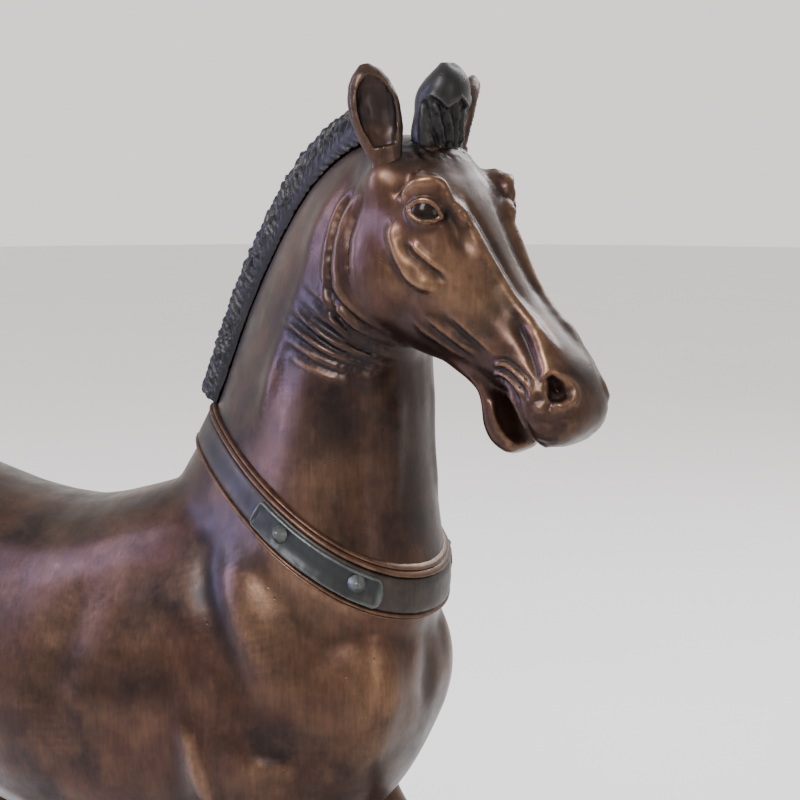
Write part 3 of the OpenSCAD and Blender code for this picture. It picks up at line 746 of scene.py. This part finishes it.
def fit_eyelids(clay):
    """Wraps the lids closely round each eyeball, with an almond opening."""
    for node in ("left_eye", "right_eye"):
        low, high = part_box(node)
        centre = np.array((low + high) / 2) / MM
        radius = (high.x - low.x) / 2 / MM
        side = -1 if node == "right_eye" else 1
        gaze = 0.20 * down_face + 0.42 * out_of_face + 0.88 * side * across_face
        gaze /= np.linalg.norm(gaze)
        slant = math.radians(40)
        corner = math.cos(slant) * down_face + math.sin(slant) * out_of_face
        corner -= (corner @ gaze) * gaze
        corner /= np.linalg.norm(corner)
        lift = np.cross(gaze, corner) * -side
        away = clay.co - centre
        distance = np.linalg.norm(away, axis=1)
        near = np.nonzero((distance < radius * 2.2) & (away @ across_face * side > -1.0))[0]
        way = away[near] / distance[near][:, None]
        out = way @ gaze
        along = (way @ corner) / 0.68
        up = way @ lift
        shape = np.clip(1 - along ** 2, 0, 1) ** 0.75
        gap = np.where(up > 0, 0.42, 0.34) * shape - np.abs(up)
        past = -np.hypot(np.abs(along) - 1, up / 0.68) * 0.68
        gap = np.where(np.abs(along) > 1, past, gap)
        front = ease(out, 0.1, 0.35)
        inside = ease(gap, -0.03, 0.07) * front
        band = (1 - ease(-gap, 0.10, 0.42)) * front
        roll = 0.70 + 0.38 * np.exp(-((gap + 0.09) / 0.06) ** 2) - 0.30 * np.exp(-((gap + 0.26) / 0.06) ** 2)
        length = distance[near] * (1 - band) + (radius + roll) * band
        length = np.maximum(length, radius + 0.5)
        length = length * (1 - inside) + (radius - 1.0) * inside
        clay.co[near] = centre + way * length[:, None]
    clay.look()


def lay_tones(clay):
    """Marks where the patina is smoky, with painted shade on the front of the neck and in the nostrils, and
    where it is rubbed to a warm yellow-brown, with a painted highlight on each nostril's rim.
    """
    tone = np.zeros(clay.count)

    def patch(centre, radius, value):
        tone[:] += value * np.exp(-((clay.co - centre) ** 2).sum(1) / radius ** 2)
    for side in (-1, 1):
        # Negative values darken to smoky patina; those on the front of the neck, at x 119 to 124, are painted
        # shade on the plane turned away from the lights.
        for x, y, z, radius, value in (
                (100, 22, 309, 11, -1.0), (113, 21, 300, 9, -0.9), (104, 21, 328, 9, -0.5),
                (88, 20, 308, 9, -0.6), (112, 19, 350, 9, -0.5), (66, 28, 236, 12, -0.6),
                (124, 10, 265, 16, -0.45), (122, 9, 288, 15, -0.4), (119, 12, 240, 14, -0.3),
                (60, 12, 290, 16, -0.3), (98, 24, 262, 16, 0.45),
                (92, 30, 232, 16, 0.55), (112, 20, 206, 14, 0.3), (20, 38, 225, 26, 0.3),
                (-80, 36, 222, 26, 0.35), (70, 30, 60, 30, -0.4), (-110, 25, 60, 34, -0.4)):
            patch(on_horse(x, side * y, z), radius, value)
        # On the face, the dark patch in each nostril is painted shade, and the warm patch on the nostril's
        # rim above it is a painted highlight.
        for h, n, t, radius, value in (
                (38, -9, 18, 7, 0.8), (46, -3, 15, 8, 0.7), (24, 3, 17, 5, 0.6), (56, -3, 13, 9, 0.45),
                (80, 2, 11, 6, 0.5), (87, 2, 11, 4, -0.9), (88, -4, 11, 6, -0.4), (8, 6, 6, 10, -1.2),
                (31, 6, 14, 5, -0.5), (32, -2, 19, 3.5, -0.4), (80, -14, 10, 7, -0.5),
                (56, -17, 15, 8, -0.2)):
            patch(on_head(h, n, side * t), radius, value)
    clay.write("smoke", np.clip(-tone, 0, 1))
    clay.write("ochre", np.clip(tone, 0, 1))


def embed_ears(clay):
    """Raises the head round the foot of each ear and of the forelock, so that they grow out of the skull."""
    for node in ("left_ear", "right_ear"):
        points = read(cad_copy(node).vertices, "co", 3).astype(float) / MM
        foot = points[points[:, 2] < points[:, 2].min() + 5].mean(0)
        clay.swell(foot, (6.5, 6.5, 6.0), 3.4)
    low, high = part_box("forelock_tuft")
    foot = np.array([low.x + high.x, low.y + high.y, 2 * low.z]) / 2 / MM
    clay.swell(foot, (8.5, 8.5, 5.5), 2.6)
    clay.look()


def jowl_plane():
    """The plane behind the jowl: a point on it, and the way to the head."""
    tilt = math.radians(9.5)
    return on_horse(110.5, 0, 341), math.cos(tilt) * ahead + math.sin(tilt) * upward


def cut_places():
    """The planes that part the castings: each with its point and normal."""
    raised_up = np.array([math.sin(raised_lean), 0, math.cos(raised_lean)])
    return {"collar": (collar_mid, collar_up), "head": jowl_plane(), "fore": (fore_weld * upward, upward),
            "hind": (hind_weld * upward, upward), "raised": (raised_weld, raised_up)}


def near_node(centre, node, margin=4.0):
    """Which places lie in a CAD node's box, made a little larger."""
    low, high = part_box(node)
    low = np.array(low) / MM - margin
    high = np.array(high) / MM + margin
    return ((centre > low) & (centre < high)).all(1)


def cut_at_welds(clay):
    """Cuts the skin along the welds, numbers each casting's faces, and returns the mesh."""
    clay.look()
    clay.mesh.attributes.new("skin", "FLOAT_VECTOR", "POINT").data.foreach_set(
        "vector", clay.normal.astype(np.float32).ravel())
    centres = face_centres(clay.mesh)
    places = cut_places()
    zones = {
        "collar": centres[:, 2] > fore_weld,
        "head": (centres - collar_mid) @ collar_up > 12,
        "fore": near_node(centres, "right_foreleg", 8),
        "hind": near_node(centres, "right_hind_leg", 8) | near_node(centres, "left_hind_leg", 8),
        "raised": near_node(centres, "left_foreleg", 8),
    }
    bm = bmesh.new()
    bm.from_mesh(clay.mesh)
    bm.faces.ensure_lookup_table()
    strips = {}
    for name, (point, normal) in places.items():
        close = zones[name] & (np.abs((centres - point) @ normal) < 2.5)
        strips[name] = [bm.faces[k] for k in np.nonzero(close)[0]]
    for name, (point, normal) in places.items():
        faces = strips[name]
        geom = list({v for f in faces for v in f.verts}) + list({e for f in faces for e in f.edges}) + faces
        bmesh.ops.bisect_plane(bm, geom=geom, dist=1e-7, plane_co=Vector(point * MM),
                               plane_no=Vector(normal))
    whole = as_mesh(bm, "whole")
    centres = face_centres(whole)

    def over(name):
        point, normal = places[name]
        return (centres - point) @ normal > 0
    owner = np.full(len(centres), castings.index("body_casting"))
    owner[over("collar") & (centres[:, 2] > lowest_neck)] = neck_number
    owner[(owner == neck_number) & over("head")] = head_number
    for leg, weld in (("right_foreleg", "fore"), ("left_foreleg", "raised"), ("right_hind_leg", "hind"),
                      ("left_hind_leg", "hind")):
        owner[near_node(centres, leg) & ~over(weld)] = castings.index(leg)
    whole.attributes.new("part", "INT", "FACE").data.foreach_set("value", owner.astype(np.int32))
    return whole


def face_centres(mesh):
    return read(mesh.polygons, "center", 3).astype(float) / MM


def owners(mesh):
    """Which casting each face belongs to."""
    return read(mesh.attributes["part"].data, "value", kind=np.int32)


def some_faces(mesh, keep):
    """A copy of a mesh with only the faces to keep."""
    bm = bmesh.new()
    bm.from_mesh(mesh)
    bm.faces.ensure_lookup_table()
    spare = [bm.faces[k] for k in np.nonzero(~keep)[0]]
    bmesh.ops.delete(bm, geom=spare, context="FACES")
    return as_mesh(bm, "some")


def one_part(whole, keep):
    """The faces of one casting, closed over each cut, with the skin's own smooth shading."""
    mesh = some_faces(whole, keep)
    bm = bmesh.new()
    bm.from_mesh(mesh)
    open_edges = [e for e in bm.edges if len(e.link_faces) == 1]
    before = len(bm.faces)
    bmesh.ops.holes_fill(bm, edges=open_edges, sides=0)
    bm.faces.ensure_lookup_table()
    bmesh.ops.triangulate(bm, faces=bm.faces[before:])
    bm.to_mesh(mesh)
    bm.free()
    smooth_faces(mesh)
    skin = read(mesh.attributes["skin"].data, "vector", 3)
    given = skin[read(mesh.loops, "vertex_index", kind=np.int32)]
    given /= np.linalg.norm(given, axis=1)[:, None] + 1e-9
    starts = read(mesh.polygons, "loop_start", kind=np.int32)
    if before < len(starts):
        given[starts[before]:] = np.repeat(read(mesh.polygons, "normal", 3)[before:], 3, axis=0)
    mesh.attributes.remove(mesh.attributes["skin"])
    mesh.attributes.remove(mesh.attributes["part"])
    mesh.normals_split_custom_set(given.tolist())
    return mesh


def smooth_faces(mesh):
    mesh.polygons.foreach_set("use_smooth", np.ones(len(mesh.polygons), bool))


horse = Clay(remeshed(cad_copy(
    "body_casting", "neck_casting", "head_casting", "left_foreleg", "right_foreleg", "left_hind_leg",
    "right_hind_leg", "left_eye", "right_eye"), skin_square))
blend_muscles(horse)
model_chest(horse)
model_legs(horse)
horse.shape_of_wear()
lay_tones(horse)
welded = cut_at_welds(horse)
owner = owners(welded)
upper = (owner == neck_number) | (owner == head_number)
bust = Clay(subdivided(some_faces(welded, upper)))
model_neck(bust)
model_head(bust)
embed_ears(bust)
fit_eyelids(bust)
bust.relax(1, 0.4)
bust.shape_of_wear()
lay_tones(bust)
bust.mesh.attributes["skin"].data.foreach_set("vector", bust.normal.astype(np.float32).ravel())
surfaces = [horse.tree(), bust.tree()]
bust_owner = owners(bust.mesh)
for number, node in enumerate(castings):
    if number in (neck_number, head_number):
        casting = one_part(bust.mesh, bust_owner == number)
    else:
        casting = one_part(welded, owner == number)
    finished(node + "_skin", casting, bronze, node)


# ---------- Ears, mane, forelock, tail and felt ----------

def cast_piece(clay, name, material, slot, node, **marks):
    """Marks a modelled piece where it is worn, smooths its shading and finishes it."""
    clay.shape_of_wear()
    for mark, values in marks.items():
        clay.write(mark, values)
    smooth_faces(clay.mesh)
    finished(name, clay.mesh, material, node)


def ears():
    """Each ear: dark and lightly haired in its hollow."""
    for node in ("left_ear", "right_ear"):
        clay = Clay(remeshed(cad_copy(node), 0.4))
        clay.relax(4, 0.7)
        slope, start = np.polyfit(clay.co[:, 2], clay.co[:, :2], 1)
        away = clay.co[:, :2] - (start + clay.co[:, 2:] * slope)
        inner = ease(-(away * clay.normal[:, :2]).sum(1), 0.2, 1.4)
        hair = lumps(clay.co * np.array([1.0, 1.0, 0.3]), 1.1, 7)
        clay.push(0.14 * lumps(clay.co, 2.2, 3) + 0.22 * inner * hair)
        # The hollow of each ear is darkened with painted shade.
        cast_piece(clay, node + "_leaf", ear_bronze, "brown_bronze", node, smoke=0.85 * inner)


def tufted_mane():
    """The clipped mane: slanting tufts side by side, each scored with finer hairs."""
    clay = Clay(remeshed(cad_copy("mane_crest"), 0.4))
    clay.relax(8, 0.8)
    root = smooth_line([on_horse(*p) for p in (
        (112, -2, 362), (100, 0, 357), (90, 0, 350), (82, 0, 341), (73, 0, 328), (66, 0, 314), (60, 0, 300),
        (54, 0, 284), (49, 0, 270))], 0.25)
    length = np.concatenate([[0], np.cumsum(np.linalg.norm(np.diff(root, axis=0), axis=1))])
    height, closest = nearest(clay.co[:, [0, 2]], root[:, [0, 2]])
    along = length[closest] + 0.75 * height + 2.0 * lumps(clay.co, 9.0, 2) + 0.8 * lumps(clay.co, 3.2, 5)
    tuft = along / 2.5
    part = tuft - np.floor(tuft)
    uneven = np.random.default_rng(4).uniform(0.15, 1.35, 400)[np.floor(tuft).astype(int) % 400]
    bulge = np.clip(part / 0.7, 0, 1) ** 0.55 * np.clip((1 - part) / 0.24, 0, 1) ** 0.6
    hairs = np.sin(along / 0.95 * 2 * math.pi + 3.0 * lumps(clay.co, 2.5, 8))
    rise = ease(height, 0.3, 3.5)
    clay.co += clay.normal * (rise * (1.45 * uneven * (bulge - 0.7) + 0.22 * hairs))[:, None]
    clay.push(0.28 * rise * lumps(clay.co, 1.8, 14))
    clay.relax(1, 0.5)
    cast_piece(clay, "mane_tufts", black_bronze, "black_bronze", "mane_crest")


def bound_forelock():
    """The upright forelock: a smooth rounded lock behind and over the top, and rough strands in front."""
    clay = Clay(remeshed(cad_copy("forelock_tuft"), 0.36))
    low = clay.co.min(0)
    high = clay.co.max(0)
    climb = (clay.co[:, 2] - low[2]) / (high[2] - low[2])
    crest = clay.co[climb > 0.8].mean(0)
    dome = np.clip((climb - 0.66) / 0.34, 0, 1)
    narrow = np.sqrt(1 - 0.93 * dome ** 2)
    clay.co[:, :2] = crest[:2] + (clay.co[:, :2] - crest[:2]) * narrow[:, None]
    clay.look()
    clay.relax(12, 0.8)
    middle = (low + high) / 2
    away = clay.co - middle
    turn = np.arctan2(away @ across_face, away[:, 0])
    # The wrap's lower edge runs in a zigzag round the front.
    edge = 0.50 + 0.13 * np.abs(np.mod(turn * 1.6 + 0.4, 2.0) - 1.0) + 0.02 * lumps(clay.co, 3, 15)
    wrap_part = ease(climb, edge - 0.02, edge + 0.03)
    behind = ease(-away[:, 0], -1.0, 3.0)
    smooth_part = np.maximum(wrap_part, behind)
    swirl = turn + 1.1 * climb
    strands = np.abs(np.sin(swirl * 5.0 + 0.9 * lumps(clay.co, 4, 11)))
    fine = np.sin(swirl * 24 + 2 * lumps(clay.co, 3, 12))
    rough = 0.95 * (strands - 0.75) + 0.14 * fine + 0.45 * lumps(clay.co, 1.5, 13)
    calm = 0.5 + 0.35 * lumps(clay.co, 5.0, 16) + 0.25 * np.sin(swirl * 3.0 + 2.0 * climb)
    hem = np.exp(-((climb - edge - 0.02) / 0.022) ** 2) * (1 - behind)
    clay.push((rough - 0.4) * (1 - smooth_part) + calm * smooth_part + 0.55 * hem)
    clay.relax(1, 0.5)
    cast_piece(clay, "forelock_lock", black_bronze, "black_bronze", "forelock_tuft", ochre=0.8 * hem)


def flowing_tail():
    """The tail: long strands that twist a little as they fall."""
    clay = Clay(remeshed(cad_copy("tail_casting"), 0.6))
    clay.relax(8, 0.8)
    turn = np.arctan2(clay.co[:, 1], clay.co[:, 0] - (-150.5))
    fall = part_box("tail_casting")[1].z / MM - clay.co[:, 2]
    twist = turn + 0.018 * fall + 0.35 * lumps(clay.co, 22, 21)
    strands = np.abs(np.sin(twist * 4.5 + 0.6 * lumps(clay.co, 9, 22)))
    fine = np.sin(twist * 26 + 2 * lumps(clay.co, 6, 23))
    rise = ease(fall, 8, 30)
    clay.push(rise * (1.1 * (strands - 0.6) + 0.2 * fine))
    clay.relax(1, 0.5)
    cast_piece(clay, "tail_strands", bronze, "brown_bronze", "tail_casting")


def pressed_felt():
    """The felt under the plinth, matted and slightly uneven."""
    clay = Clay(remeshed(cad_copy("felt_pad"), 1.0))
    clay.push(-0.12 * (1 + np.clip(lumps(clay.co, 3.0, 41), -1, 1)))
    smooth_faces(clay.mesh)
    finished("felt_sheet", clay.mesh, felt_finish(), "felt_pad")


# ---------- Collar ----------

def neck_surface(angle, height):
    """Where a ray from the collar's middle meets the neck, and the way it went."""
    out = collar_front * math.cos(angle) + np.array([0, 1.0, 0]) * math.sin(angle)
    start = collar_mid + collar_up * height
    far = start + out * 90
    hits = [surface.ray_cast(Vector(far), Vector(-out)) for surface in surfaces]
    near = min((hit for hit in hits if hit[0] is not None), key=lambda hit: hit[3])
    return np.array(near[0]), out


def wrap(angles, profile, closed=True):
    """A closed sweep: each profile point is a height along the neck and a lift off its skin."""
    bm = bmesh.new()
    rings = []
    for angle in angles:
        ring = []
        for height, lift in profile(angle):
            place, out = neck_surface(angle, height)
            ring.append(bm.verts.new((place + out * lift) * MM))
        edges = [bm.edges.new((ring[i], ring[(i + 1) % len(ring)])) for i in range(len(ring))]
        rings.append(edges)
    last = len(rings) if closed else len(rings) - 1
    for i in range(last):
        bmesh.ops.bridge_loops(bm, edges=rings[i] + rings[(i + 1) % len(rings)])
    if not closed:
        for edges in (rings[0], rings[-1]):
            bmesh.ops.edgeloop_fill(bm, edges=edges)
    bmesh.ops.recalc_face_normals(bm, faces=bm.faces)
    return bm


def turns(count):
    return [2 * math.pi * i / count for i in range(count)]


def bead(centre, half, lift, sunk=-1.2, steps=7):
    """A half-round section that stands on the skin."""
    points = [(centre - half, sunk)]
    for i in range(steps + 1):
        a = math.pi * i / steps
        points.append((centre - half * math.cos(a), lift * math.sin(a)))
    points.append((centre + half, sunk))
    return points


def collar():
    """A flat dark band with a doubled copper bead above and a thin ridge pair below."""
    half = collar_width / 2

    def band(angle):
        edge = [(-half, -1.2), (-half, 1.2), (-half + 0.4, 1.75)]
        flat = [(-half + 0.4 + (collar_width - 0.8) * i / 8, 1.9) for i in range(1, 8)]
        return edge + flat + [(half - 0.4, 1.75), (half, 1.2), (half, -1.2)]

    def upper(angle):
        first = bead(half + 0.95, 0.85, 2.3, steps=6)
        second = bead(half + 2.15, 0.55, 1.5, steps=5)
        return first[:-1] + second[1:]

    def lower(angle):
        first = bead(-half - 1.7, 0.5, 1.4, steps=5)
        second = bead(-half - 0.65, 0.65, 2.1, steps=6)
        return first[:-1] + second[1:]
    dress(wrap(turns(180), band), "collar_band_strap", band_bronze, "black_bronze", "collar_band")
    dress(wrap(turns(180), upper), "collar_upper_beads", rubbed_bronze, "rubbed_bronze", "collar_upper_rim")
    dress(wrap(turns(180), lower), "collar_lower_beads", rubbed_bronze, "rubbed_bronze", "collar_lower_rim")


def dress(bm, name, material, slot, node, rough=0.07):
    """Turns a bmesh into a finished piece with a cast surface and marks of wear."""
    clay = Clay(as_mesh(bm, name))
    clay.push(rough * lumps(clay.co, 1.6, 31) + rough * 0.6 * lumps(clay.co, 0.8, 32))
    cast_piece(clay, name, material, slot, node)


def collar_plates():
    """A grey plate on each side of the band, with rounded ends, a raised edge and a sunken field."""
    whole = bmesh.new()
    for side in (-1, 1):
        start, stop = math.radians(28.5), math.radians(101)
        steps = 70
        half = 3.85

        def section(angle):
            u = (abs(angle) - start) / (stop - start)
            end = min(u, 1 - u) * (stop - start) * 40
            reach = half * (0.25 + 0.75 * math.sqrt(max(0.0, 1 - max(0.0, 1 - end / 2.2) ** 2)))
            rim = 3.0 if end > 0.9 else 2.9
            field = 2.55 if end > 1.5 else 2.95
            return [(-reach, 1.2), (-reach, 2.6), (-reach + 0.3, rim), (-reach + 0.75, rim),
                    (-reach + 1.1, field), (0, field + 0.1), (reach - 1.1, field), (reach - 0.75, rim),
                    (reach - 0.3, rim), (reach, 2.6), (reach, 1.2)]
        angles = [side * (start + (stop - start) * i / steps) for i in range(steps + 1)]
        whole.from_mesh(as_mesh(wrap(angles, section, closed=False), "side"))
    dress(whole, "collar_side_plates", grey_bronze, "grey_bronze", "collar_plates", rough=0.1)


def collar_bosses():
    """Pointed bosses in the middle of the band, where the CAD model has them."""
    whole = bmesh.new()
    for side in (-1, 1):
        for degrees in (38, 77):
            angle = side * math.radians(degrees)
            place, out = neck_surface(angle, 0)
            along = neck_surface(angle + 0.05, 0)[0] - neck_surface(angle - 0.05, 0)[0]
            along /= np.linalg.norm(along)
            up = neck_surface(angle, 1.5)[0] - neck_surface(angle, -1.5)[0]
            face = np.cross(along, up)
            face /= np.linalg.norm(face)
            if face @ out < 0:
                face = -face
            bm = bmesh.new()
            bmesh.ops.create_cone(bm, cap_ends=True, cap_tris=False, segments=40, radius1=2.8 * MM,
                                  radius2=0.7 * MM, depth=2.6 * MM)
            rims = [e for e in bm.edges if abs(e.verts[0].co.z - e.verts[1].co.z) < 1e-6]
            bmesh.ops.bevel(bm, geom=rims, offset=0.4 * MM, segments=3, profile=0.5, affect="EDGES",
                            material=-1)
            turn = Vector((0, 0, 1)).rotation_difference(Vector(face)).to_matrix().to_4x4()
            bmesh.ops.transform(bm, matrix=turn, verts=bm.verts)
            bmesh.ops.translate(bm, vec=Vector((place + face * 3.6) * MM), verts=bm.verts)
            whole.from_mesh(as_mesh(bm, "boss"))
    dress(whole, "collar_points", grey_bronze, "grey_bronze", "collar_bosses", rough=0.04)


ears()
tufted_mane()
bound_forelock()
flowing_tail()
pressed_felt()
collar()
collar_plates()
collar_bosses()

marble = stone_finish()
steel = steel_finish()
enamel = eye_finish()
for node, material in (
        ("plinth", marble), ("hoof_studs", steel), ("stud_washers", steel), ("stud_nuts", steel),
        ("tail_pin", steel), ("left_eye", enamel), ("right_eye", enamel)):
    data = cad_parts[node]
    data.data.materials.clear()
    data.data.materials.append(material)


# ---------- Floor, light and camera ----------

# How far the camera and the lights stand round from the horse's right side.
view_turn = math.radians(29)


def pale_floor():
    bm = bmesh.new()
    bmesh.ops.create_circle(bm, cap_ends=True, segments=96, radius=6.0)
    floor = placed("floor", as_mesh(bm, "floor"))
    f = Finish("floor_paint")
    colour = f.blend(f.noise(3, 3), (0.74, 0.73, 0.71), (0.80, 0.79, 0.77))
    f.set(Base_Color=colour, Roughness=0.85)
    floor.data.materials.append(f.material)


def soft_light(name, place, aim, size, power, colour):
    data = bpy.data.lights.new(name, "AREA")
    data.shape = "RECTANGLE"
    data.size = size[0]
    data.size_y = size[1]
    data.energy = power
    data.color = colour
    lamp = placed(name, data)
    lamp.location = place
    lamp.rotation_euler = (Vector(aim) - Vector(place)).to_track_quat("-Z", "Y").to_euler()


def studio():
    aim = (0.08, 0.0, 0.30)

    def around(turn, rise, reach):
        a = view_turn + math.radians(turn)
        e = math.radians(rise)
        return (aim[0] + reach * math.sin(a) * math.cos(e), aim[1] - reach * math.cos(a) * math.cos(e),
                aim[2] + reach * math.sin(e))
    soft_light("window", around(-34, 40, 1.5), aim, (0.45, 0.8), 40, (0.98, 0.97, 1.0))
    soft_light("side_window", around(-92, 16, 1.2), aim, (0.22, 0.9), 15, (0.55, 0.53, 1.0))
    soft_light("front_fill", around(38, 10, 1.7), aim, (0.5, 0.7), 8, (1.0, 0.93, 0.86))
    soft_light("rim", around(140, 40, 1.4), aim, (0.4, 0.9), 14, (0.95, 0.97, 1.0))
    world = bpy.data.worlds.new("studio")
    world.use_nodes = True
    world.node_tree.nodes["Background"].inputs["Color"].default_value = (0.93, 0.89, 0.87, 1)
    world.node_tree.nodes["Background"].inputs["Strength"].default_value = 1.40
    bpy.context.scene.world = world


def camera():
    rise = math.radians(9)
    level = math.cos(rise)
    back = Vector((math.sin(view_turn) * level, -math.cos(view_turn) * level, math.sin(rise)))
    aim = Vector((0.113, 0.0, 0.316))
    data = bpy.data.cameras.new("camera")
    data.sensor_width = 36
    data.lens = 71.7
    data.clip_start = 0.01
    eye = placed("camera", data)
    eye.location = aim + back * 0.45
    eye.rotation_euler = back.to_track_quat("Z", "Y").to_euler()
    bpy.context.scene.camera = eye


pale_floor()
studio()
camera()
